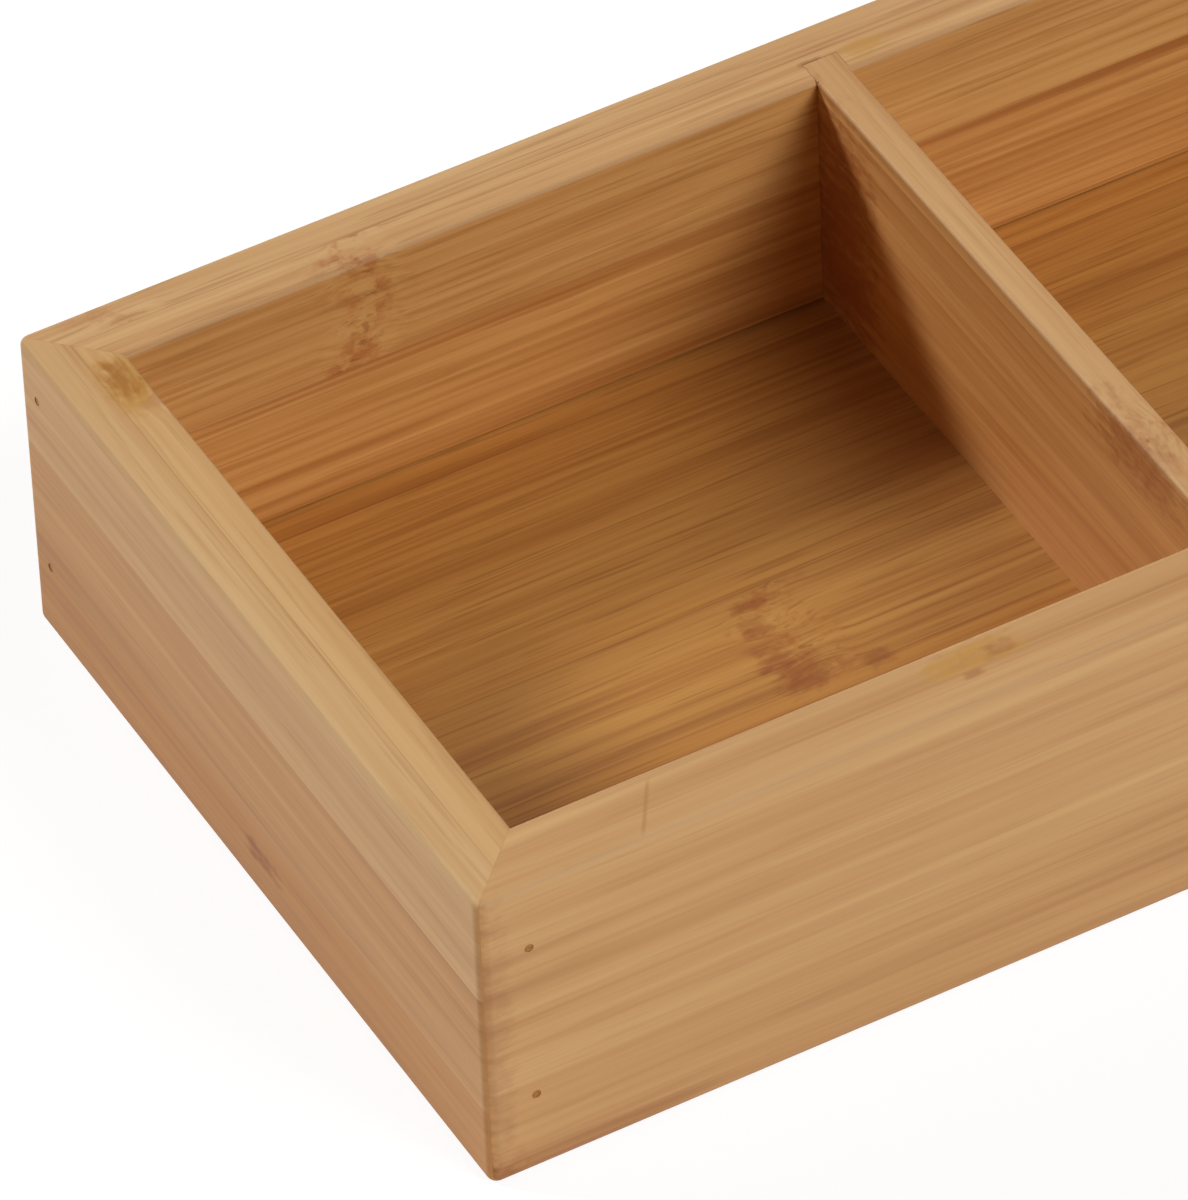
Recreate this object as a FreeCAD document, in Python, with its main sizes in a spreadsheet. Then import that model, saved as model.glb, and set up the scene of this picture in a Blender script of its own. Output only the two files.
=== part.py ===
import FreeCAD, Part
import math
import os

import Sketcher
from FreeCAD import Vector

# Bamboo drawer tray: four mitred walls round a captive floor, with dividers let into the long walls.
# Millimetres, +Z up, +X along the tray, -Y its front. The origin is the middle of the underside.

# Driving sizes
SIZES = {
    # the whole tray, outside
    "tray_length": 350.0,
    "tray_width": 127.0,
    "tray_height": 51.0,
    # wall boards and the easing of their edges
    "wall_thickness": 11.0,
    "corner_radius": 1.6,
    "outer_top_radius": 0.9,
    "outer_bottom_radius": 1.5,
    "inner_edge_radius": 0.8,
    # floor panel and the groove that holds it
    "floor_top_height": 11.6,
    "floor_thickness": 5.0,
    "groove_depth": 4.0,
    "groove_clearance": 0.15,
    "panel_edge_clearance": 0.3,
    # dividers and the housings cut for their ends
    "divider_thickness": 5.25,
    "divider_edge_radius": 0.5,
    "housing_depth": 4.0,
    "housing_side_clearance": 0.05,
    "divider_end_clearance": 0.1,
    # brads that pin the mitres
    "brad_diameter": 1.0,
    "brad_head_diameter": 1.3,
    "brad_head_thickness": 0.5,
    "brad_point_length": 1.5,
    "brad_tip_diameter": 0.3,
    "brad_length": 22.0,
    "brad_set_depth": 0.1,
    "brad_hole_clearance": 0.02,
    "long_wall_brad_above_floor": 2.1,
    "long_wall_brad_below_rim": 10.8,
    "end_wall_brad_above_floor": 1.3,
    "end_wall_brad_below_rim": 7.8,
    # how far a cut runs out into the air
    "cut_overrun": 3.0,
}

# A brad stands in from the tray's corner by this share of the wall that it enters.
LONG_WALL_BRAD_SHARE = 0.65
END_WALL_BRAD_SHARE = 0.46

# A level round stays a little under the upright corner round that it runs into.
LEVEL_ROUND_SHARE = 0.95

# Two places nearer than this count as one.
SAME_PLACE = 1e-5

DIVIDERS = ("left_divider", "right_divider")

# The walls in order round the tray, each turned on from the last by the same angle:
# name, the size that it runs along, the size across it, the corner at its pinned end
WALLS = (
    ("front_wall", "tray_length", "tray_width", "front_left"),
    ("right_end_wall", "tray_width", "tray_length", "front_right"),
    ("back_wall", "tray_length", "tray_width", "back_right"),
    ("left_end_wall", "tray_width", "tray_length", "back_left"),
)

# Places that several pieces share, written in the names of the sheet
FLOOR_UNDERSIDE = "(sizes.floor_top_height - sizes.floor_thickness)"
WALL_ABOVE_FLOOR = "(sizes.tray_height - sizes.floor_top_height)"
COMPARTMENT = (
    f"((sizes.tray_length - 2 * sizes.wall_thickness - {len(DIVIDERS)} * sizes.divider_thickness)"
    f" / {len(DIVIDERS) + 1})"
)
BRAD_HOLE = "(sizes.brad_diameter + 2 * sizes.brad_hole_clearance)"
BRAD_HEAD_HOLE = "(sizes.brad_head_diameter + 2 * sizes.brad_hole_clearance)"
BRAD_ROWS = ("lower", "upper")

# Brads driven through the walls that run along each size
BRADS = {
    "tray_length": {
        "inset": f"({LONG_WALL_BRAD_SHARE} * sizes.wall_thickness)",
        "lower": "(sizes.floor_top_height + sizes.long_wall_brad_above_floor)",
        "upper": "(sizes.tray_height - sizes.long_wall_brad_below_rim)",
    },
    "tray_width": {
        "inset": f"({END_WALL_BRAD_SHARE} * sizes.wall_thickness)",
        "lower": "(sizes.floor_top_height + sizes.end_wall_brad_above_floor)",
        "upper": "(sizes.tray_height - sizes.end_wall_brad_below_rim)",
    },
}


def make_sheet(doc):
    """The sheet of driving sizes, one named cell to a row."""
    sheet = doc.addObject("Spreadsheet::Sheet", "sizes")
    for row, (name, value) in enumerate(SIZES.items(), start=1):
        sheet.set(f"A{row}", name)
        sheet.set(f"B{row}", str(value))
        sheet.setAlias(f"B{row}", name)
    doc.recompute()


def divider_place(index):
    """Where a divider's middle lies along the tray, counted from the left."""
    return (
        f"(-sizes.tray_length / 2 + sizes.wall_thickness + {index + 1} * {COMPARTMENT}"
        f" + ({index} + 1 / 2) * sizes.divider_thickness)"
    )


def placed(x, y, z, axis="0; 0; 1", turn=0):
    """A placement, as an expression: a move and a turn about an axis."""
    return f"placement(vector({x}; {y}; {z}); rotation(vector({axis}); {turn}))"


# Sketches

def new_sketch(body, name, role, offset=None):
    """A sketch on one of the body's own planes, moved along the plane's normal."""
    plane = next(item for item in body.Origin.OriginFeatures if item.Role == role)
    sketch = body.newObject("Sketcher::SketchObject", name)
    sketch.AttachmentSupport = [(plane, "")]
    sketch.MapMode = "FlatFace"
    if offset:
        sketch.setExpression("AttachmentOffset.Base.z", offset)
    return sketch


def drive(sketch, name, expression, drawn, kind, *where):
    """A named dimension of the sketch, first as drawn, that then follows the sheet."""
    number = sketch.addConstraint(Sketcher.Constraint(kind, *where, drawn))
    sketch.renameConstraint(number, name)
    sketch.setExpression(f"Constraints.{name}", expression)


def add_rectangle(sketch, name, low_x, high_x, low_y, high_y):
    """A rectangle, drawn as a unit square, whose sides are each placed from the sketch's origin."""
    corners = [Vector(0, 0), Vector(1, 0), Vector(1, 1), Vector(0, 1)]
    lines = [Part.LineSegment(start, end) for start, end in zip(corners, corners[1:] + corners[:1])]
    bottom, right, top, left = sketch.addGeometry(lines, False)
    for first, second in ((bottom, right), (right, top), (top, left), (left, bottom)):
        sketch.addConstraint(Sketcher.Constraint("Coincident", first, 2, second, 1))
    for side in (bottom, top):
        sketch.addConstraint(Sketcher.Constraint("Horizontal", side))
    for side in (left, right):
        sketch.addConstraint(Sketcher.Constraint("Vertical", side))
    drive(sketch, f"{name}_low_x", low_x, 0, "DistanceX", -1, 1, bottom, 1)
    drive(sketch, f"{name}_high_x", high_x, 1, "DistanceX", -1, 1, bottom, 2)
    drive(sketch, f"{name}_low_y", low_y, 0, "DistanceY", -1, 1, bottom, 1)
    drive(sketch, f"{name}_high_y", high_y, 1, "DistanceY", -1, 1, top, 1)


def add_circle(sketch, name, diameter, x, y):
    """A circle, drawn as a unit circle, placed from the sketch's origin."""
    circle = sketch.addGeometry(Part.Circle(Vector(0, 0), Vector(0, 0, 1), 1), False)
    drive(sketch, f"{name}_radius", f"{diameter} / 2", 1, "Radius", circle)
    drive(sketch, f"{name}_x", x, 0, "DistanceX", -1, 1, circle, 3)
    drive(sketch, f"{name}_y", y, 0, "DistanceY", -1, 1, circle, 3)


def add_wall_outline(sketch, own_length):
    """A wall seen from above: outer face on the X axis, ends mitred, half of each corner round."""
    half = SIZES[own_length] / 2
    wall = SIZES["wall_thickness"]
    radius = SIZES["corner_radius"]
    middles = [Vector(half - radius, radius), Vector(radius - half, radius)]
    rounds = [Part.Circle(middle, Vector(0, 0, 1), radius) for middle in middles]
    right_round = Part.ArcOfCircle(rounds[0], math.radians(270), math.radians(315))
    left_round = Part.ArcOfCircle(rounds[1], math.radians(225), math.radians(270))
    right_inside = Vector(half - wall, wall)
    left_inside = Vector(wall - half, wall)
    outer, right_arc, right_mitre, inner, left_mitre, left_arc = sketch.addGeometry(
        [
            Part.LineSegment(left_round.EndPoint, right_round.StartPoint),
            right_round,
            Part.LineSegment(right_round.EndPoint, right_inside),
            Part.LineSegment(right_inside, left_inside),
            Part.LineSegment(left_inside, left_round.StartPoint),
            left_round,
        ],
        False,
    )
    inner_run = (right_arc, right_mitre, inner, left_mitre, left_arc)
    for first, second in zip(inner_run, inner_run[1:]):
        sketch.addConstraint(Sketcher.Constraint("Coincident", first, 2, second, 1))
    sketch.addConstraint(Sketcher.Constraint("Tangent", outer, 2, right_arc, 1))
    sketch.addConstraint(Sketcher.Constraint("Tangent", left_arc, 2, outer, 1))
    for arc, mitre in ((right_arc, right_mitre), (left_arc, left_mitre)):
        sketch.addConstraint(Sketcher.Constraint("PointOnObject", arc, 3, mitre))
    sketch.addConstraint(Sketcher.Constraint("Equal", right_arc, left_arc))
    sketch.addConstraint(Sketcher.Constraint("PointOnObject", outer, 1, -1))
    for face in (outer, inner):
        sketch.addConstraint(Sketcher.Constraint("Symmetric", face, 1, face, 2, -2))
    inside = f"sizes.{own_length} / 2 - sizes.wall_thickness"
    outside = f"sizes.{own_length} / 2 - sizes.corner_radius"
    drive(sketch, "corner", "sizes.corner_radius", radius, "Radius", right_arc)
    drive(sketch, "thickness", "sizes.wall_thickness", wall, "DistanceY", -1, 1, inner, 1)
    drive(sketch, "inside", inside, half - wall, "DistanceX", -1, 1, inner, 1)
    drive(sketch, "outside", outside, half - radius, "DistanceX", -1, 1, outer, 2)


# Features

def pad(body, name, sketch, length):
    """A board raised from a sketch."""
    feature = body.newObject("PartDesign::Pad", name)
    feature.Profile = sketch
    feature.setExpression("Length", length)
    body.Document.recompute()


def cut(body, name, sketch, depth=None):
    """A cut from a sketch against its normal: to a depth, or right through. It has to remove wood."""
    before = body.Shape.Volume
    feature = body.newObject("PartDesign::Pocket", name)
    feature.Profile = sketch
    if depth:
        feature.setExpression("Length", depth)
    else:
        feature.Type = "ThroughAll"
    body.Document.recompute()
    if not body.Shape.Volume < before:
        raise RuntimeError(f"{name} removes nothing")


def ease(body, name, edges, radius):
    """A round along the named edges of the body as it stands."""
    base = body.Tip
    feature = body.newObject("PartDesign::Fillet", name)
    feature.Base = (base, edges)
    feature.setExpression("Radius", radius)
    body.Document.recompute()


def level_edges(shape, height, depth, reach):
    """Names of the level edges at a height whose middles lie within reach of a depth."""
    names = []
    for number, edge in enumerate(shape.Edges, start=1):
        level = all(abs(corner.Z - height) < SAME_PLACE for corner in edge.Vertexes)
        if level and abs(edge.CenterOfMass.y - depth) < reach:
            names.append(f"Edge{number}")
    return names


# Pieces

def build_wall(doc, index, name, own_length, across):
    """One wall: a mitred board, grooved for the floor, housed for the dividers, drilled for the brads."""
    half = f"sizes.{own_length} / 2"
    body = doc.addObject("PartDesign::Body", name)
    body.Label = name

    outline = new_sketch(body, f"{name}_outline", "XY_Plane")
    add_wall_outline(outline, own_length)
    pad(body, f"{name}_board", outline, "sizes.tray_height")
    ease_wall(body)

    # The floor's groove runs out through both mitres.
    groove = new_sketch(body, f"{name}_groove", "YZ_Plane", half)
    groove_bottom = "sizes.wall_thickness - sizes.groove_depth"
    groove_top = "sizes.floor_top_height + sizes.groove_clearance"
    mouth = "sizes.wall_thickness + sizes.cut_overrun"
    add_rectangle(groove, "groove", groove_bottom, mouth, FLOOR_UNDERSIDE, groove_top)
    cut(body, f"{name}_groove_cut", groove)

    # Each housing of a long wall is open at the rim and runs down into the groove.
    if own_length == "tray_length":
        rows = new_sketch(body, f"{name}_housings", "XY_Plane", "sizes.tray_height")
        side = "(sizes.divider_thickness / 2 + sizes.housing_side_clearance)"
        for number, divider in enumerate(DIVIDERS):
            middle = divider_place(number)
            bottom = "sizes.wall_thickness - sizes.housing_depth"
            add_rectangle(rows, divider, f"{middle} - {side}", f"{middle} + {side}", bottom, mouth)
        cut(body, f"{name}_housing_cut", rows, WALL_ABOVE_FLOOR)

    drill_pinned_end(body, half, BRADS[own_length])
    drill_met_end(body, half, BRADS[across])
    turned = placed("0", "0", "0", turn=index * math.degrees(math.tau) / len(WALLS))
    body.setExpression("Placement", f"{turned} * {placed('0', f'-sizes.{across} / 2', '0')}")
    doc.recompute()


def ease_wall(body):
    """Sanded edges: rim, foot and the corner rounds that they meet."""
    name = body.Label
    rim = SIZES["tray_height"]
    wall = SIZES["wall_thickness"]
    outside_reach = SIZES["corner_radius"] / 2
    outer_rim = level_edges(body.Shape, rim, 0, outside_reach)
    largest = f"{LEVEL_ROUND_SHARE} * sizes.corner_radius"
    ease(body, f"{name}_outer_rim", outer_rim, f"min(sizes.outer_top_radius; {largest})")
    outer_foot = level_edges(body.Shape, 0, 0, outside_reach)
    ease(body, f"{name}_outer_foot", outer_foot, f"min(sizes.outer_bottom_radius; {largest})")
    inner_rim = level_edges(body.Shape, rim, wall, SAME_PLACE)
    inner_foot = level_edges(body.Shape, 0, wall, SAME_PLACE)
    ease(body, f"{name}_inner_edges", inner_rim + inner_foot, "sizes.inner_edge_radius")


def drill_pinned_end(body, half, brads):
    """Brads go in through this end's outer face; the heads are set below it."""
    name = body.Label
    for kind, diameter, depth in (
        ("shank", BRAD_HOLE, None),
        ("head", BRAD_HEAD_HOLE, "sizes.brad_set_depth + sizes.brad_head_thickness"),
    ):
        holes = new_sketch(body, f"{name}_{kind}_holes", "XZ_Plane")
        for row in BRAD_ROWS:
            add_circle(holes, row, diameter, f"{brads['inset']} - {half}", brads[row])
        cut(body, f"{name}_{kind}_hole_cut", holes, depth)


def drill_met_end(body, half, brads):
    """The other end takes the neighbour's brads through its mitre, as deep as they reach."""
    name = body.Label
    holes = new_sketch(body, f"{name}_point_holes", "YZ_Plane", half)
    for row in BRAD_ROWS:
        add_circle(holes, row, BRAD_HOLE, brads["inset"], brads[row])
    cut(body, f"{name}_point_hole_cut", holes, "sizes.brad_set_depth + sizes.brad_length")


def build_floor(doc):
    """The floor panel, let into the grooves of all four walls."""
    body = doc.addObject("PartDesign::Body", "floor_panel")
    body.Label = "floor_panel"
    margin = "(sizes.wall_thickness - sizes.groove_depth + sizes.panel_edge_clearance)"
    half_length = f"(sizes.tray_length / 2 - {margin})"
    half_width = f"(sizes.tray_width / 2 - {margin})"
    outline = new_sketch(body, "floor_outline", "XY_Plane")
    add_rectangle(outline, "floor", f"-{half_length}", half_length, f"-{half_width}", half_width)
    pad(body, "floor_board", outline, "sizes.floor_thickness")
    body.setExpression("Placement.Base.z", FLOOR_UNDERSIDE)
    doc.recompute()


def build_divider(doc, name, index):
    """A thin board that stands on the floor, flush with the rim, its ends in the housings."""
    body = doc.addObject("PartDesign::Body", name)
    body.Label = name
    half_thickness = "sizes.divider_thickness / 2"
    sides = (f"-{half_thickness}", half_thickness)
    shoulder = "(sizes.tray_width / 2 - sizes.wall_thickness)"
    margin = "(sizes.wall_thickness - sizes.housing_depth + sizes.divider_end_clearance)"
    half_length = f"(sizes.tray_width / 2 - {margin})"
    outline = new_sketch(body, f"{name}_outline", "XY_Plane")
    add_rectangle(outline, "divider", *sides, f"-{shoulder}", shoulder)
    pad(body, f"{name}_board", outline, WALL_ABOVE_FLOOR)
    top = SIZES["tray_height"] - SIZES["floor_top_height"]
    ease(body, f"{name}_rim", level_edges(body.Shape, top, 0, SAME_PLACE), "sizes.divider_edge_radius")

    # Within the housings the ends keep square edges, level with the rim.
    ends = new_sketch(body, f"{name}_ends", "XY_Plane")
    add_rectangle(ends, "front", *sides, f"-{half_length}", f"-{shoulder}")
    add_rectangle(ends, "back", *sides, shoulder, half_length)
    pad(body, f"{name}_end_tongues", ends, WALL_ABOVE_FLOOR)
    body.setExpression("Placement.Base.x", divider_place(index))
    body.setExpression("Placement.Base.z", "sizes.floor_top_height")
    doc.recompute()


def build_brad(doc, row, wall, own_length, corner):
    """One brad, head to point along its own +Z, driven square through the wall's outer face."""
    name = f"{corner}_{row}_brad"
    brads = BRADS[own_length]
    head = doc.addObject("Part::Cylinder", f"{name}_head")
    head.setExpression("Radius", "sizes.brad_head_diameter / 2")
    head.setExpression("Height", "sizes.brad_head_thickness")
    shank = doc.addObject("Part::Cylinder", f"{name}_shank")
    shank.setExpression("Radius", "sizes.brad_diameter / 2")
    shank.setExpression("Height", "sizes.brad_length - sizes.brad_point_length")
    point = doc.addObject("Part::Cone", f"{name}_point")
    point.setExpression("Radius1", "sizes.brad_diameter / 2")
    point.setExpression("Radius2", "sizes.brad_tip_diameter / 2")
    point.setExpression("Height", "sizes.brad_point_length")
    point.setExpression("Placement.Base.z", "sizes.brad_length - sizes.brad_point_length")
    brad = doc.addObject("Part::MultiFuse", name)
    brad.Label = name
    brad.Shapes = [head, shank, point]
    start = f"{brads['inset']} - sizes.{own_length} / 2"
    driven = placed(start, "sizes.brad_set_depth", brads[row], axis="1; 0; 0", turn=-90)
    brad.setExpression("Placement", f"{wall}.Placement * {driven}")
    doc.recompute()


def check(doc, nodes):
    """Stops the build at a failed feature, a loose sketch or a piece that isn't one sound solid."""
    for item in doc.Objects:
        if "Invalid" in item.State or "Error" in item.State:
            raise RuntimeError(f"{item.Label} failed")
        if item.TypeId == "Sketcher::SketchObject" and not item.FullyConstrained:
            raise RuntimeError(f"{item.Label} isn't fully constrained")
    for node in nodes:
        shape = node.Shape
        if shape.isNull() or not shape.isValid() or len(shape.Solids) != 1:
            raise RuntimeError(f"{node.Label} isn't one valid solid")


def build_tray(doc):
    """All pieces of the tray, in the order in which it is put together."""
    make_sheet(doc)
    build_floor(doc)
    for index, (name, own_length, across, _) in enumerate(WALLS):
        build_wall(doc, index, name, own_length, across)
    for index, name in enumerate(DIVIDERS):
        build_divider(doc, name, index)
    for wall, own_length, _, corner in WALLS:
        for row in BRAD_ROWS:
            build_brad(doc, row, wall, own_length, corner)


document = FreeCAD.newDocument("bamboo_tray")
build_tray(document)
pieces = [item for item in document.Objects if item.TypeId in ("PartDesign::Body", "Part::MultiFuse")]
check(document, pieces)
os.makedirs("parts", exist_ok=True)
for piece in pieces:
    piece.Shape.exportStep(f"parts/{piece.Label}.step")
    print(f"{piece.Label}: {piece.Shape.Volume:.1f} mm3")
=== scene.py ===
# %% [markdown]
# # A bamboo cutlery tray
# The tray is seven bamboo boards and eight brads: four mitred walls, a floor let into
# their grooves, and two dividers that stand in housings. The boards come ready cut from
# the packed model, with their grooves, rounds and brad holes, so this lesson is about
# the finish. All the looks of bamboo lie in how the boards were glued up from strips.

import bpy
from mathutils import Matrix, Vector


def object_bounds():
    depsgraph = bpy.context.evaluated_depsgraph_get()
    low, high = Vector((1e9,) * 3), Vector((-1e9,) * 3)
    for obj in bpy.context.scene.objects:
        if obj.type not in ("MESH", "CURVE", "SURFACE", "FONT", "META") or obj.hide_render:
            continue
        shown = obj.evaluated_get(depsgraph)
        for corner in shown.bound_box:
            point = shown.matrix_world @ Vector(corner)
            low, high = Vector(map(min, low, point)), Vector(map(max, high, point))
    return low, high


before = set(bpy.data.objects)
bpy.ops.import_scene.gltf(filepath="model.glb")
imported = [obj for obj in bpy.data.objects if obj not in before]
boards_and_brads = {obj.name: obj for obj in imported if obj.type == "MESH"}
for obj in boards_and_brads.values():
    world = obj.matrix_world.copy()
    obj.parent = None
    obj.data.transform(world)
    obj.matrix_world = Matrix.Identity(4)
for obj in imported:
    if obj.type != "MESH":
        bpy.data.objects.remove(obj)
cad_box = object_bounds()
print("loaded", len(boards_and_brads), "pieces:", ", ".join(sorted(boards_and_brads)))

# %% [markdown]
# ## Where the camera stands
# The photograph is taken from the front left, well above the rim, with a long lens, so
# the tray's edges stay almost parallel. A camera could be aimed with a constraint, but
# a plain place and three angles are easier to read and to change.

# %% Set up the camera
import math

import bpy
from mathutils import Quaternion, Vector

CAMERA_PLACE = Vector((-0.73734, -1.18033, 1.27621))
SWING = math.radians(27.4906)
CLIMB = math.radians(43.1591)
TILT = math.radians(-2.6236)
LENS = 412.815
SENSOR = 36.0

scene = bpy.context.scene
scene.view_settings.view_transform = "Standard"
camera_data = bpy.data.cameras.new("camera")
camera_data.lens = LENS
camera_data.sensor_fit = "VERTICAL"
camera_data.sensor_width = SENSOR
camera_data.sensor_height = SENSOR
camera = bpy.data.objects.new("camera", camera_data)
scene.collection.objects.link(camera)
level_reach = math.cos(CLIMB)
gaze = Vector((math.sin(SWING) * level_reach, math.cos(SWING) * level_reach, -math.sin(CLIMB)))
camera.location = CAMERA_PLACE
camera.rotation_mode = "QUATERNION"
camera.rotation_quaternion = gaze.to_track_quat("-Z", "Y") @ Quaternion((0, 0, 1), TILT)
scene.camera = camera
to_tray = CAMERA_PLACE - sum(cad_box, Vector()) / 2
print("camera stands", round(to_tray.length, 2), "m from the tray")

# %% [markdown]
# ## A helper for finishes
# A procedural finish is a chain of small sums. Typed node by node it is long to read, so
# a short class adds one node per call and hands its output on. Numbers may stand where
# an output could: the class sets the socket instead of linking it.

# %% Turn shown colours into light
def linear_light(shown):
    """The light behind a shown value of 0 to 1, by the usual curve of screens."""
    return shown / 12.92 if shown <= 0.04045 else ((shown + 0.055) / 1.055) ** 2.4


def tint(red, green, blue):
    """A colour given in the usual 0 to 255, as the linear colour that Blender mixes in."""
    return (*(linear_light(part / 255) for part in (red, green, blue)), 1.0)


WHITE = tint(255, 255, 255)
print("straw tone in linear light:", [round(part, 3) for part in tint(214, 176, 129)])

# %% Make a finish from nodes
MIX_SHARE, MIX_FIRST, MIX_SECOND, MIX_RESULT = 0, 6, 7, 2


class Finish:
    """A material or world being made: each call adds one node and hands its output on."""

    def __init__(self, owner):
        owner.use_nodes = True
        self.tree = owner.node_tree

    def plug(self, value, socket):
        if isinstance(value, bpy.types.NodeSocket):
            self.tree.links.new(value, socket)
        else:
            socket.default_value = value

    def add(self, kind, *values, **settings):
        node = self.tree.nodes.new(kind)
        for name, setting in settings.items():
            setattr(node, name, setting)
        for value, socket in zip(values, node.inputs):
            self.plug(value, socket)
        return node

    def maths(self, operation, *values):
        return self.add("ShaderNodeMath", *values, operation=operation).outputs[0]

    def vector(self, operation, *values):
        return self.add("ShaderNodeVectorMath", *values, operation=operation).outputs[0]

    def length(self, vector):
        return self.add("ShaderNodeVectorMath", vector, operation="LENGTH").outputs["Value"]

    def combine(self, *numbers):
        return self.add("ShaderNodeCombineXYZ", *numbers).outputs[0]

    def separate(self, vector):
        return self.add("ShaderNodeSeparateXYZ", vector).outputs

    def ease(self, value, low, high):
        """0 at low and 1 at high, with a soft start and end. High may be the smaller one."""
        ramp = self.add("ShaderNodeMapRange", value, low, high, interpolation_type="SMOOTHSTEP")
        return ramp.outputs[0]

    def noise(self, place, scale, detail=2.0, roughness=0.5):
        node = self.add("ShaderNodeTexNoise", self.vector("MULTIPLY", place, scale))
        node.inputs["Scale"].default_value = 1.0
        node.inputs["Detail"].default_value = detail
        node.inputs["Roughness"].default_value = roughness
        return node.outputs[0]

    def blend(self, share, first, second, way="MIX"):
        node = self.add("ShaderNodeMix", data_type="RGBA", blend_type=way)
        self.plug(share, node.inputs[MIX_SHARE])
        self.plug(first, node.inputs[MIX_FIRST])
        self.plug(second, node.inputs[MIX_SECOND])
        return node.outputs[MIX_RESULT]


print("a finish can", ", ".join(call for call in vars(Finish) if not call.startswith("_")))

# %% [markdown]
# ## Floor and light
# The photograph has a plain white ground and two lamps. A narrow one behind on the left
# draws the crisp slanting shadow of the back wall on the divider. A broad one in front
# on the right lights the inside of the back wall. The ground looks white to the camera,
# yet it still takes the tray's shadow, and it throws light back on the walls.

# %% Lay the ground
GROUND_REACH = 12.0
GROUND_CELLS = 24

steps = [GROUND_REACH * (2 * i / GROUND_CELLS - 1) for i in range(GROUND_CELLS + 1)]
corners = [(x, y, 0.0) for y in steps for x in steps]
row = len(steps)
cells = [
    (j * row + i, j * row + i + 1, (j + 1) * row + i + 1, (j + 1) * row + i)
    for j in range(GROUND_CELLS)
    for i in range(GROUND_CELLS)
]
ground_mesh = bpy.data.meshes.new("ground")
ground_mesh.from_pydata(corners, [], cells)
ground = bpy.data.objects.new("ground", ground_mesh)
scene.collection.objects.link(ground)
print("ground", 2 * GROUND_REACH, "m wide, in", len(cells), "cells")

# %% Colour the ground
GROUND_BOUNCE = tint(243, 243, 242)
GROUND_SHADED = tint(137, 137, 137)
GROUND_GLOW = 0.83


def seen_directly(finish):
    """1 for what the camera sees, straight or in a reflection, and 0 for light on its way."""
    path = finish.add("ShaderNodeLightPath").outputs
    either = finish.maths("MAXIMUM", path["Is Camera Ray"], path["Is Glossy Ray"])
    return finish.maths("MAXIMUM", either, path["Is Transmission Ray"])


paper_material = bpy.data.materials.new("ground_paper")
paper = Finish(paper_material)
bounce = paper.add("ShaderNodeBsdfDiffuse", GROUND_BOUNCE).outputs[0]
shaded = paper.add("ShaderNodeBsdfDiffuse", GROUND_SHADED).outputs[0]
glow = paper.add("ShaderNodeEmission", WHITE, GROUND_GLOW).outputs[0]
shown = paper.add("ShaderNodeAddShader", shaded, glow).outputs[0]
ground_mix = paper.add("ShaderNodeMixShader", seen_directly(paper), bounce, shown).outputs[0]
paper.plug(ground_mix, paper.tree.nodes["Material Output"].inputs["Surface"])
ground_mesh.materials.append(paper_material)
print("ground throws back", round(GROUND_BOUNCE[0], 2), "of the light on it")

# %% Light the surroundings
AMBIENT = 0.012

scene.world = bpy.data.worlds.new("surroundings")
surroundings = Finish(scene.world)
sky = surroundings.tree.nodes["Background"]
sky.inputs["Color"].default_value = WHITE
seen = seen_directly(surroundings)
strength = surroundings.add("ShaderNodeMapRange", seen, 0.0, 1.0, AMBIENT, 1.0)
surroundings.plug(strength.outputs[0], sky.inputs["Strength"])
print("surroundings give light at", AMBIENT)

# %% Hang the two lamps
LAMP_DISTANCE = 4.0
LAMPS = {
    # towards the lamp; width and height; power
    "lamp_behind_left": ((-0.9, 1.15, 1.0), (1.6, 0.4), 118.0),
    "lamp_front_right": ((0.6, -1.0, 1.0), (2.3, 2.3), 132.0),
}
for name, (towards, size, power) in LAMPS.items():
    lamp = bpy.data.lights.new(name, "AREA")
    lamp.shape = "RECTANGLE"
    lamp.size, lamp.size_y = size
    lamp.energy = power
    holder = bpy.data.objects.new(name, lamp)
    scene.collection.objects.link(holder)
    holder.location = Vector(towards).normalized() * LAMP_DISTANCE
    holder.rotation_mode = "QUATERNION"
    holder.rotation_quaternion = (-Vector(towards)).to_track_quat("-Z", "Y")
    holder.visible_camera = False
    print(name, "shines from", [round(part, 2) for part in holder.location])

# %% [markdown]
# ## How a board is cut and glued
# Each board is glued up from strips about 20 mm wide, the walls from two layers of them.
# The finish therefore has to know, at every point, how far it lies along the grain,
# across the board and below its face. Those three numbers make a solid pattern, so the
# rim shows the same strips, cut through, as the faces do.

# %% Describe the boards
from collections import namedtuple

LENGTH, WIDTH, HEIGHT = 350.0, 127.0, 51.0
WALL, FLOOR_TOP, DIVIDER = 11.0, 11.6, 5.25
COMPARTMENT = (LENGTH - 2 * WALL - 2 * DIVIDER) / 3
X, Y, Z = 0, 1, 2


def divider_face(number):
    """How far a divider's left face is from the tray's left end."""
    return WALL + number * COMPARTMENT + (number - 1) * DIVIDER


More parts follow.
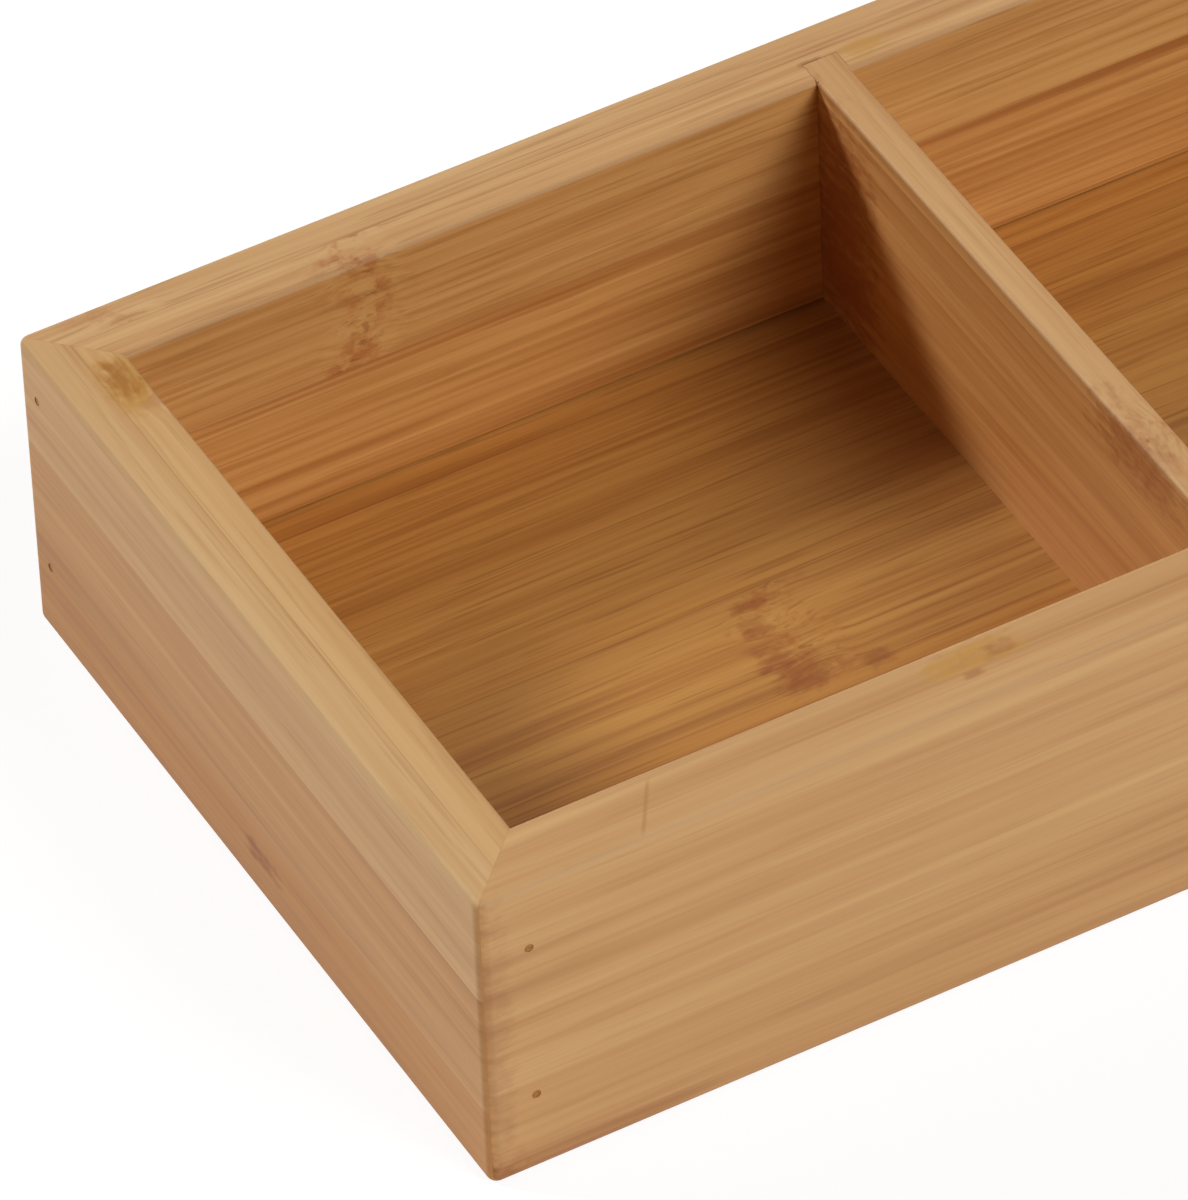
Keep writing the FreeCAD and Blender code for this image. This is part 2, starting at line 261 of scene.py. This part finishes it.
Board = namedtuple("Board", "along across depth face way layers seams")
BOARDS = {
    # the three directions; where the face lies and which way the depth runs; the number
    # of layers; the lowest seam of each layer
    "front_wall": Board(X, Z, Y, 0.0, 1, 2, (16.0, 10.0)),
    "back_wall": Board(X, Z, Y, WIDTH, -1, 2, (19.0, 12.4)),
    "left_end_wall": Board(Y, Z, X, 0.0, 1, 2, (13.0, 18.0)),
    "right_end_wall": Board(Y, Z, X, LENGTH, -1, 2, (15.0, 9.0)),
    "floor_panel": Board(X, Y, Z, FLOOR_TOP, -1, 1, (9.0, 9.0)),
    "left_divider": Board(Y, Z, X, divider_face(1), 1, 1, (28.0, 28.0)),
    "right_divider": Board(Y, Z, X, divider_face(2), 1, 1, (24.0, 24.0)),
}
for name, board in BOARDS.items():
    print(name, "has its grain along", "XYZ"[board.along], "in", board.layers, "layer(s)")

# %% Measure along, across and into a board
MM_PER_M = 1000.0
FRONT_LEFT = (LENGTH / 2, WIDTH / 2, 0.0)
STRIP = 20.5
WALL_LAYER, SINGLE_LAYER = 5.5, 20.0
FLOOR_STRIPS, UPRIGHT_STRIPS = 7, 3
STRIP_SHIFT = 331.7


class Grain:
    """Where a point lies in a board, in millimetres from the tray's front left corner."""

    def __init__(self, finish, board):
        spot = finish.add("ShaderNodeTexCoord").outputs["Object"]
        from_corner = finish.vector("MULTIPLY_ADD", spot, (MM_PER_M,) * 3, FRONT_LEFT)
        ways = finish.separate(from_corner)
        self.along, self.across, self.high = ways[board.along], ways[board.across], ways[Z]
        face = -board.way * board.face
        self.depth = finish.maths("MULTIPLY_ADD", ways[board.depth], board.way, face)
        self.spot = finish.combine(self.along, self.across, self.depth)
        self.find_layer(finish, board)
        self.find_strip(finish, board)

    def find_layer(self, finish, board):
        """Which layer of the board the point lies in, counted from the face."""
        self.layer_thickness = WALL_LAYER if board.layers == 2 else SINGLE_LAYER
        layers_down = finish.maths("DIVIDE", self.depth, self.layer_thickness)
        layer = finish.maths("MAXIMUM", finish.maths("FLOOR", layers_down), 0.0)
        self.layer = finish.maths("MINIMUM", layer, board.layers - 1.0)

    def find_strip(self, finish, board):
        """Which strip it lies in, and where in it. Each strip gets fibres of its own."""
        self.strips = FLOOR_STRIPS if board.across == Y else UPRIGHT_STRIPS
        first, second = board.seams
        lowest = finish.maths("MULTIPLY_ADD", self.layer, second - first, first)
        above = finish.maths("SUBTRACT", self.across, lowest)
        strips_up = finish.maths("DIVIDE", above, STRIP)
        strip = finish.maths("ADD", finish.maths("FLOOR", strips_up), 1.0)
        self.within = finish.maths("MULTIPLY", finish.maths("FRACT", strips_up), STRIP)
        self.number = finish.maths("MULTIPLY_ADD", self.layer, self.strips, strip)
        shifted = finish.maths("MULTIPLY_ADD", self.number, STRIP_SHIFT, self.along)
        self.fibre = finish.combine(shifted, self.across, self.depth)


print("strips are", STRIP, "mm wide, and wall layers", WALL_LAYER, "mm thick")

# %% [markdown]
# ## A chart of strips
# No two strips are the same colour, and each has its knuckles, the rings where leaves
# once grew, in another place. A chart gives each strip its tone, its warmth and the place
# of its knuckle. The strips that the photograph shows are listed one by one, and the others
# are drawn by lot from a fixed seed. A colour ramp with hard steps holds the chart.

# %% Set the strips that are seen
NO_KNUCKLE = (300, 0.0)
SEEN_STRIPS = {
    # board: {(layer, strip): (tone, warmth, place of the knuckle, how plain it is)}
    "front_wall": {
        (0, 0): (0.51, 0.47, *NO_KNUCKLE),
        (0, 1): (0.58, 0.45, *NO_KNUCKLE),
        (0, 2): (0.55, 0.43, *NO_KNUCKLE),
        (1, 2): (0.66, 0.50, 79, 0.4),
    },
    "back_wall": {
        (0, 2): (0.58, 0.39, 13, 0.5),
        # the lowest inner strip shows only as a thin band just above the floor; its dark tone is
        # the joint line, deepened as painted shade in the crease
        (1, 0): (0.15, 0.75, *NO_KNUCKLE),
        (1, 1): (0.42, 0.62, 285, 0.6),
        (1, 2): (0.53, 0.46, 46, 1.0),
    },
    "left_end_wall": {
        (0, 0): (0.57, 0.76, *NO_KNUCKLE),
        (0, 1): (0.59, 0.50, *NO_KNUCKLE),
        (0, 2): (0.72, 0.29, *NO_KNUCKLE),
        (1, 2): (0.65, 0.44, 110, 0.8),
    },
    "floor_panel": {
        (0, 2): (0.48, 0.50, 140, 0.7),
        (0, 3): (0.50, 0.28, 78, 0.85),
        (0, 4): (0.60, 0.48, 245, 0.9),
        (0, 5): (0.45, 0.50, 300, 0.8),
        (0, 6): (0.46, 0.55, 190, 0.8),
    },
    "left_divider": {
        (0, 0): (0.50, 0.55, 108, 0.9),
        (0, 1): (0.52, 0.50, 109, 0.9),
        (0, 2): (0.55, 0.44, 31, 0.9),
    },
}
print("strips set by hand:", sum(len(strips) for strips in SEEN_STRIPS.values()))

# %% Draw the other strips and read the chart
import random

CHART_LENGTH = 400.0
TONES, WARMTHS = (0.44, 0.56), (0.4, 0.55)
KNUCKLE_PLACES, KNUCKLE_STRENGTHS = (0.1, 0.9), (0.5, 1.0)


def strip_chart(name, board, grain):
    """The tone, warmth, knuckle place and knuckle strength of every strip of a board."""
    lots = random.Random(name)
    length = LENGTH if board.along == X else WIDTH
    chart = []
    for layer in range(board.layers):
        for strip in range(grain.strips):
            drawn = (
                lots.uniform(*TONES),
                lots.uniform(*WARMTHS),
                lots.uniform(*KNUCKLE_PLACES) * length,
                lots.uniform(*KNUCKLE_STRENGTHS),
            )
            chart.append(SEEN_STRIPS.get(name, {}).get((layer, strip), drawn))
    return chart


def read_chart(finish, chart, grain):
    """Tone, warmth, knuckle place and knuckle strength at the point that is being shaded."""
    middle_of_step = finish.maths("ADD", grain.number, 0.5)
    ramp = finish.add("ShaderNodeValToRGB", finish.maths("DIVIDE", middle_of_step, len(chart)))
    ramp.color_ramp.interpolation = "CONSTANT"
    stops = ramp.color_ramp.elements
    while len(stops) < len(chart):
        stops.new(1.0)
    for i, (tone, warmth, knuckle, strength) in enumerate(chart):
        stops[i].position = i / len(chart)
        stops[i].color = (tone, warmth, knuckle / CHART_LENGTH, strength)
    tone, warmth, place = finish.add("ShaderNodeSeparateColor", ramp.outputs["Color"]).outputs
    return tone, warmth, finish.maths("MULTIPLY", place, CHART_LENGTH), ramp.outputs["Alpha"]


print("tones of the other strips are drawn between", *TONES)

# %% [markdown]
# ## Knuckles
# At a knuckle the fibres swerve and the strip turns blotched across its whole width:
# reddish in places, pale in others, with small dark dots. Here the distance from the
# knuckle, made wavy by noise, opens a soft zone. Inside it one noise parts the red from
# the pale, and a finer one is cut into dots.

# %% Draw a knuckle
# Noises are given by their waves per millimetre along the grain, across it and into the
# board. A pair gives the value at which a mask starts and the value at which it is full.
SWAY_WAVES = (0.004, 0.12, 0.12)
BLOTCH_WAVES = (0.24, 0.3, 0.3)
DOT_WAVES = (0.5, 0.75, 0.75)
SWAY = 14.0
KNUCKLE_ZONE, KNUCKLE_CORE = (8.5, 1.0), (5.0, 0.5)
RED_BLOTCH, PALE_BLOTCH, DARK_DOT = (0.48, 0.64), (0.47, 0.34), (0.55, 0.68)


def knuckle_marks(finish, grain, knuckle, strength):
    """A knuckle's zone, the sum of the noises that blotch it, and its red, pale and dark marks."""
    sway = finish.noise(grain.fibre, SWAY_WAVES, detail=1.0)
    wavy = finish.maths("MULTIPLY_ADD", sway, SWAY, -SWAY / 2)
    off = finish.maths("ADD", finish.maths("SUBTRACT", grain.along, knuckle), wavy)
    far = finish.maths("ABSOLUTE", off)
    zone = finish.maths("MULTIPLY", finish.ease(far, *KNUCKLE_ZONE), strength)
    core = finish.maths("MULTIPLY", finish.ease(far, *KNUCKLE_CORE), strength)
    blotch = finish.noise(grain.fibre, BLOTCH_WAVES, detail=4.0, roughness=0.6)
    dot = finish.noise(grain.fibre, DOT_WAVES)
    red = finish.maths("MULTIPLY", finish.ease(blotch, *RED_BLOTCH), zone)
    pale = finish.maths("MULTIPLY", finish.ease(blotch, *PALE_BLOTCH), zone)
    dark = finish.maths("MULTIPLY", finish.ease(dot, *DARK_DOT), core)
    return zone, finish.maths("ADD", blotch, dot), red, pale, dark


print("a knuckle reaches", KNUCKLE_ZONE[0], "mm to either side")

# %% [markdown]
# ## Fibres
# Bamboo has no year rings: its grain is straight fibre bundles, seen as long fine lines
# and as broader pale and dark bands. Noise that is stretched some fifty times along the
# grain gives both, and short dashes come from a finer one. The lines bend aside near a
# knuckle.

# %% Draw the fibres
SWERVE_WAVES = (0.07, 0.2, 0.2)
BAND_WAVES = (0.005, 0.22, 0.22)
LINE_WAVES = (0.013, 0.75, 0.75)
DASH_WAVES = (0.05, 1.5, 1.5)
SWERVE = 5.0


def fibre_lines(finish, grain, zone):
    """Broad bands, fine lines and short dashes, each around a half."""
    swerve = finish.noise(grain.fibre, SWERVE_WAVES, detail=0.0)
    aside = finish.maths("MULTIPLY_ADD", swerve, SWERVE, -SWERVE / 2)
    bend = finish.maths("MULTIPLY", aside, zone)
    place = finish.vector("ADD", grain.fibre, finish.combine(0.0, bend, bend))
    bands = finish.noise(place, BAND_WAVES)
    lines = finish.noise(place, LINE_WAVES, roughness=0.6)
    dashes = finish.noise(place, DASH_WAVES, detail=1.0)
    return bands, lines, dashes


print("lines are stretched", round(LINE_WAVES[1] / LINE_WAVES[0]), "times along the grain")

# %% [markdown]
# ## Seams, mitres and eased edges
# Glue shows as a thin brown line wherever two strips or two walls meet, broken where the
# joint is tight. The arrises were sanded after assembly, so they are a little paler,
# while on the corner rounds the fibres are cut across and the wood looks warmer. That warm
# cut-end tone is also lighter than the wood, as painted fill light on the corner rounds that
# turn away from the lamps. The rounds are real geometry, so the tilt of the surface tells
# where an edge is.

# %% Find seams and edges
SEAM = (0.25, 0.02)
SEAM_GAPS = (0.65, 0.4)
MITRE = (0.25, 0.0)
EDGE_TILT, END_TILT = (0.99, 0.8), (0.2, 0.85)


def seam_lines(finish, grain, bands):
    """Glue between strips and layers, 0 to 1, with gaps that follow the broad bands."""
    to_upper = finish.maths("SUBTRACT", STRIP, grain.within)
    to_seam = finish.maths("MINIMUM", grain.within, to_upper)
    below_layer = finish.maths("SUBTRACT", grain.depth, grain.layer_thickness)
    nearest = finish.maths("MINIMUM", to_seam, finish.maths("ABSOLUTE", below_layer))
    glue = finish.ease(nearest, *SEAM)
    return finish.maths("MULTIPLY", glue, finish.ease(bands, *SEAM_GAPS))


def mitre_lines(finish, grain, board):
    """Glue where a wall meets its neighbours at 45 degrees, 0 to 1."""
    half = (LENGTH if board.along == X else WIDTH) / 2
    middle = finish.maths("ABSOLUTE", finish.maths("SUBTRACT", grain.along, half))
    to_end = finish.maths("SUBTRACT", half, middle)
    return finish.ease(finish.maths("SUBTRACT", to_end, grain.depth), *MITRE)


def edge_and_end(finish, board):
    """How far a surface tilts from the board's faces, and how far it cuts across the fibres."""
    normal = finish.add("ShaderNodeNewGeometry").outputs["Normal"]
    parts = finish.separate(finish.vector("ABSOLUTE", normal))
    level = finish.maths("MAXIMUM", parts[X], parts[Y])
    squarest = finish.maths("MAXIMUM", level, parts[Z])
    return finish.ease(squarest, *EDGE_TILT), finish.ease(parts[board.along], *END_TILT)


print("glue lines are", 2 * SEAM[0], "mm wide at most")

# %% [markdown]
# ## Single marks
# Some marks are neither strip nor knuckle: a reddish streak, an amber patch, a stained
# foot. Two are partly painted shade: the joint along the floor's back edge, darkened in the
# crease against the back wall, and red-brown over the back end of the left divider, where
# a knuckle lies in the back wall's shadow. Each is a block with soft sides, placed in the
# board by its middle and its half sizes, so it shows on every face that it reaches. The
# noises that the wood already has make a short mark ragged and a long one streaky. One hair
# crack slants across the front rim.

# %% List the marks
RED_BROWN = tint(150, 84, 40)
AMBER_BROWN = tint(190, 136, 58)
DARK_BROWN = tint(112, 66, 28)
MARKS = {
    # board: middle along, across and deep; half sizes; colour; how plain it is
    "front_wall": [
        ((1.0, 0.5, 1.0), (7.0, 3.0, 4.0), AMBER_BROWN, 0.75),
        ((0.5, 0.0, 0.5), (5.0, 3.8, 4.0), RED_BROWN, 0.65),
        ((10.0, 0.0, 0.0), (24.0, 5.0, 3.0), RED_BROWN, 0.62),
        ((0.0, 25.0, 0.0), (4.5, 27.0, 3.0), RED_BROWN, 0.34),
        ((77.5, 51.0, 7.4), (7.5, 3.0, 2.6), AMBER_BROWN, 0.8),
        ((81.2, 51.0, 7.3), (2.4, 2.0, 1.3), RED_BROWN, 0.6),
        ((75.9, 51.0, 4.6), (1.6, 2.0, 0.9), RED_BROWN, 0.5),
    ],
    "back_wall": [
        ((175.0, 32.2, 11.0), (400.0, 1.5, 2.0), RED_BROWN, 0.45),
        ((126.0, 51.0, 8.0), (3.6, 3.0, 2.4), AMBER_BROWN, 0.65),
        ((118.0, 51.0, 7.0), (1.6, 1.0, 0.7), DARK_BROWN, 0.5),
    ],
    "left_end_wall": [
        ((62.0, 7.7, 0.0), (5.5, 1.9, 3.0), RED_BROWN, 0.7),
        ((111.0, 51.0, 8.3), (6.3, 12.0, 3.4), AMBER_BROWN, 0.95),
        ((112.0, 51.0, 8.0), (4.2, 2.0, 2.4), RED_BROWN, 0.6),
    ],
    "left_divider": [
        ((32.5, 47.3, 0.5), (12.5, 4.6, 3.0), RED_BROWN, 0.75),
        # red-brown over the back end: partly a knuckle's reddening, partly painted shade where the
        # back wall's shadow falls
        ((111.0, 28.0, 0.0), (11.0, 22.0, 2.0), RED_BROWN, 0.85),
    ],
    "floor_panel": [
        # a dark line along the back edge: the joint, deepened by painted shade in the crease
        # against the back wall
        ((175.0, 116.0, 0.0), (400.0, 1.2, 3.0), DARK_BROWN, 0.32),
        ((77.3, 68.0, 0.0), (3.2, 1.4, 2.0), RED_BROWN, 0.7),
        ((75.9, 63.3, 0.0), (2.4, 2.2, 2.0), RED_BROWN, 0.6),
        ((75.0, 57.4, 0.0), (3.0, 3.0, 2.0), RED_BROWN, 0.7),
        ((76.6, 52.0, 0.0), (4.2, 3.6, 2.0), RED_BROWN, 0.75),
        ((87.2, 50.0, 0.0), (2.4, 2.2, 2.0), RED_BROWN, 0.6),
    ],
}
print("single marks:", sum(len(marks) for marks in MARKS.values()))

# %% Place a mark and the hair crack
LONG_MARK = 15.0
RAGGED, STREAKY = 1.8, 3.0
MARK_SIDES = (1.3, -0.3)
CRACK_SIDES = (0.55, 0.0)
CRACK_START, CRACK_END, CRACK_FADE = (24.9, 1.0), (30.0, 9.0), 1.0


def place_mark(finish, grain, uneven, middle, half_sizes):
    """How far a point lies inside a mark, 0 to 1."""
    off = finish.vector("DIVIDE", finish.vector("SUBTRACT", grain.spot, middle), half_sizes)
    boxy = finish.length(finish.vector("MULTIPLY", off, off))
    return finish.ease(finish.maths("ADD", boxy, uneven), *MARK_SIDES)


def own_marks(finish, name, grain, blotches, lines):
    """The single marks of one board: a mask, how plain it is, and a colour for each."""
    # Each noise lies around a half: three of them are mottled, and the lines are one.
    mottled = finish.maths("ADD", blotches, lines)
    ragged = finish.maths("MULTIPLY_ADD", mottled, RAGGED, -1.5 * RAGGED)
    streaky = finish.maths("MULTIPLY_ADD", lines, STREAKY, -0.5 * STREAKY)
    layers = []
    for middle, half_sizes, colour, plain in MARKS.get(name, []):
        uneven = streaky if half_sizes[0] > LONG_MARK else ragged
        layers.append((place_mark(finish, grain, uneven, middle, half_sizes), plain, colour))
    return layers


def hair_crack(finish, grain):
    """A fine slanting line across the rim of the front wall, 0 to 1."""
    (start, outer), (end, inner) = CRACK_START, CRACK_END
    slant = (end - start) / (inner - outer)
    from_foot = finish.maths("SUBTRACT", grain.along, start - slant * outer)
    aside = finish.maths("MULTIPLY_ADD", grain.depth, -slant, from_foot)
    line = finish.ease(finish.maths("ABSOLUTE", aside), *CRACK_SIDES)
    started = finish.ease(grain.depth, outer - CRACK_FADE, outer + CRACK_FADE)
    ended = finish.ease(grain.depth, inner + CRACK_FADE, inner - CRACK_FADE)
    return finish.maths("MULTIPLY", line, finish.maths("MULTIPLY", started, ended))


print("marks longer than", 2 * LONG_MARK, "mm are streaky")

# %% [markdown]
# ## The bamboo finish
# Now the parts come together. The bands and lines pick a tone between a fibre brown and a
# pale straw; warmth leans it to amber; knuckles and seams lay brown over it, and cut ends
# a warm tone, lighter than the wood, which is partly the end grain and partly painted fill
# light on the shaded corner rounds. Each board's colour is then multiplied by its own share
# of red, green and blue, and the rim, sanded level after gluing, by a paler share. Lacquer
# gives a satin gloss, a little duller on the fibres and on the end walls, and the fine
# lines stand up by a few hundredths of a millimetre.

# %% Choose the looks of each board
SATIN, DULL = 0.45, 0.2
Look = namedtuple("Look", "bands lines dashes glue gloss keeps")
LOOKS = {
    # how plain bands, fibre lines, dark dashes and glue are; the gloss; the share of red,
    # green and blue that the board keeps
    "front_wall": Look(0.9, 0.4, 0.2, 0.1, SATIN, (0.99, 1.02, 0.96)),
    "back_wall": Look(0.5, 0.9, 0.5, 0.4, SATIN, (1.06, 1.08, 0.90)),
    "left_end_wall": Look(0.8, 0.55, 0.25, 0.25, DULL, (0.915, 0.88, 0.83)),
    "right_end_wall": Look(0.8, 0.55, 0.25, 0.25, DULL, (0.915, 0.88, 0.83)),
    "floor_panel": Look(0.7, 1.0, 0.65, 0.5, SATIN, (0.82, 0.70, 0.37)),
    "left_divider": Look(0.8, 0.55, 0.3, 0.2, SATIN, (1.01, 0.96, 0.80)),
    "right_divider": Look(0.8, 0.55, 0.3, 0.2, SATIN, (1.01, 0.96, 0.80)),
}
RIM_KEEPS = (0.94, 0.99, 1.02)
RIM = (HEIGHT - 1.1, HEIGHT - 0.5)  # where the sanding starts and where it is full
print("boards with a satin gloss:", sum(look.gloss == SATIN for look in LOOKS.values()))

# %% Mix the bare wood
FIBRE_BROWN, TAN, STRAW = tint(163, 112, 62), tint(197, 153, 105), tint(214, 176, 129)
FIBRE_LEVEL, TAN_LEVEL, STRAW_LEVEL = 0.15, 0.5, 0.85
AMBER = tint(255, 225, 180)


def bare_wood(finish, look, tone, warmth, bands, lines):
    """The wood's own colour, before knuckles, glue and marks."""
    level = finish.maths("SUBTRACT", tone, (look.bands + look.lines) / 2)
    level = finish.maths("MULTIPLY_ADD", bands, look.bands, level)
    level = finish.maths("MULTIPLY_ADD", lines, look.lines, level)
    ramp = finish.add("ShaderNodeValToRGB", level)
    stops = ramp.color_ramp.elements
    stops[0].position, stops[0].color = FIBRE_LEVEL, FIBRE_BROWN
    stops[1].position, stops[1].color = STRAW_LEVEL, STRAW
    stops.new(TAN_LEVEL).color = TAN
    lean = finish.blend(warmth, WHITE, AMBER)
    return finish.blend(1.0, ramp.outputs["Color"], lean, "MULTIPLY")


print("straw has", round(STRAW[0] / FIBRE_BROWN[0], 2), "times the red of fibre brown")

# %% Lay knuckles, glue and marks over it
KNUCKLE_RED, KNUCKLE_PALE = tint(164, 92, 46), tint(206, 164, 112)
KNUCKLE_DARK, GLUE_BROWN = tint(128, 72, 28), tint(128, 80, 38)
# The cut-end colour is partly warm end grain and partly painted fill light: it is lighter than the
# wood, to lift the corner rounds that turn away from the lamps.
END_WARM_PAINTED_FILL, SANDED = tint(247, 175, 110), tint(220, 184, 140)
DASH = (0.54, 0.72)
PALE_PLAIN, RED_PLAIN, DARK_PLAIN = 0.4, 0.65, 0.5
END_PLAIN, SANDED_PLAIN = 0.66, 0.06
MITRE_PLAIN, CRACK_PLAIN = 0.1, 0.52


def bamboo_colour(finish, name, board, look):
    """The colour of one board, and the masks that its gloss and relief need."""
    grain = Grain(finish, board)
    chart = strip_chart(name, board, grain)
    tone, warmth, knuckle, strength = read_chart(finish, chart, grain)
    zone, blotches, red, pale, dark = knuckle_marks(finish, grain, knuckle, strength)
    bands, lines, dashes = fibre_lines(finish, grain, zone)
    edge, end = edge_and_end(finish, board)
    arris = finish.maths("MULTIPLY", edge, finish.maths("SUBTRACT", 1.0, end))
    layers = [
        (finish.ease(dashes, *DASH), look.dashes, FIBRE_BROWN),
        (pale, PALE_PLAIN, KNUCKLE_PALE),
        (red, RED_PLAIN, KNUCKLE_RED),
        (dark, DARK_PLAIN, KNUCKLE_DARK),
        (seam_lines(finish, grain, bands), look.glue, GLUE_BROWN),
        # cut ends: warm end grain, made lighter as painted fill light on the shaded corner rounds
        (end, END_PLAIN, END_WARM_PAINTED_FILL),
        (arris, SANDED_PLAIN, SANDED),
        *own_marks(finish, name, grain, blotches, lines),
    ]
    if name.endswith("wall"):
        layers.append((mitre_lines(finish, grain, board), MITRE_PLAIN, GLUE_BROWN))
    if name == "front_wall":
        layers.append((hair_crack(finish, grain), CRACK_PLAIN, FIBRE_BROWN))
    colour = bare_wood(finish, look, tone, warmth, bands, lines)
    for mask, plain, layer_colour in layers:
        colour = finish.blend(finish.maths("MULTIPLY", mask, plain), colour, layer_colour)
    rim = finish.ease(grain.high, *RIM)
    keeps = finish.blend(rim, (*look.keeps, 1.0), (*RIM_KEEPS, 1.0))
    return finish.blend(1.0, colour, keeps, "MULTIPLY"), lines, edge, dark


print("red of a knuckle in linear light:", [round(part, 3) for part in KNUCKLE_RED])

# %% Lacquer the boards
LACQUER_ROUGH, FIBRE_ROUGH, DOT_ROUGH, EDGE_ROUGH = 0.4, 0.16, 0.12, 0.25
RELIEF, RELIEF_HEIGHT = 0.3, 0.00008


def bamboo(name):
    """The finish of one board, with its own strips, knuckles and fibres."""
    material = bpy.data.materials.new(name + "_bamboo")
    finish = Finish(material)
    shader = finish.tree.nodes["Principled BSDF"]
    look = LOOKS[name]
    colour, lines, edge, dark = bamboo_colour(finish, name, BOARDS[name], look)
    finish.plug(colour, shader.inputs["Base Color"])
    rough = finish.maths("MULTIPLY_ADD", lines, FIBRE_ROUGH, LACQUER_ROUGH)
    rough = finish.maths("MULTIPLY_ADD", dark, DOT_ROUGH, rough)
    rough = finish.maths("MULTIPLY_ADD", edge, EDGE_ROUGH, rough)
    finish.plug(rough, shader.inputs["Roughness"])
    shader.inputs["Specular IOR Level"].default_value = look.gloss
    bump = finish.add("ShaderNodeBump")
    bump.inputs["Strength"].default_value = RELIEF
    bump.inputs["Distance"].default_value = RELIEF_HEIGHT
    finish.plug(lines, bump.inputs["Height"])
    finish.plug(bump.outputs[0], shader.inputs["Normal"])
    return material


for name in BOARDS:
    for slot in boards_and_brads[name].material_slots:
        slot.material = bamboo(name)
    print(name, "finished with", len(slot.material.node_tree.nodes), "nodes")

# %% [markdown]
# ## Brads
# The brads are set a little below the outer face, so only a small brown dot shows. Such
# wire is lacquered to suit the wood and dulls in its hole: brown, slightly mottled, with
# a weak metal gloss.

# %% Finish the brads
BRAD_BROWN, BRAD_DARK = tint(172, 118, 58), tint(142, 92, 40)
MOTTLE_WAVES_PER_M = (2600.0, 2600.0, 2600.0)
MOTTLE = (0.35, 0.7)
WIRE_ROUGH, MOTTLE_ROUGH = 0.35, 0.3
WIRE_METAL, WIRE_GLOSS = 0.1, 0.2

wire_material = bpy.data.materials.new("brad_wire")
wire = Finish(wire_material)
wire_shader = wire.tree.nodes["Principled BSDF"]
wire_spot = wire.add("ShaderNodeTexCoord").outputs["Object"]
mottle = wire.noise(wire_spot, MOTTLE_WAVES_PER_M, detail=3.0)
wire_colour = wire.blend(wire.ease(mottle, *MOTTLE), BRAD_BROWN, BRAD_DARK)
wire_rough = wire.maths("MULTIPLY_ADD", mottle, MOTTLE_ROUGH, WIRE_ROUGH)
wire.plug(wire_colour, wire_shader.inputs["Base Color"])
wire.plug(wire_rough, wire_shader.inputs["Roughness"])
wire_shader.inputs["Metallic"].default_value = WIRE_METAL
wire_shader.inputs["Specular IOR Level"].default_value = WIRE_GLOSS
brads = [piece for name, piece in boards_and_brads.items() if name.endswith("brad")]
for brad in brads:
    for slot in brad.material_slots:
        slot.material = wire_material
print("brads finished:", len(brads))

# %% [markdown]
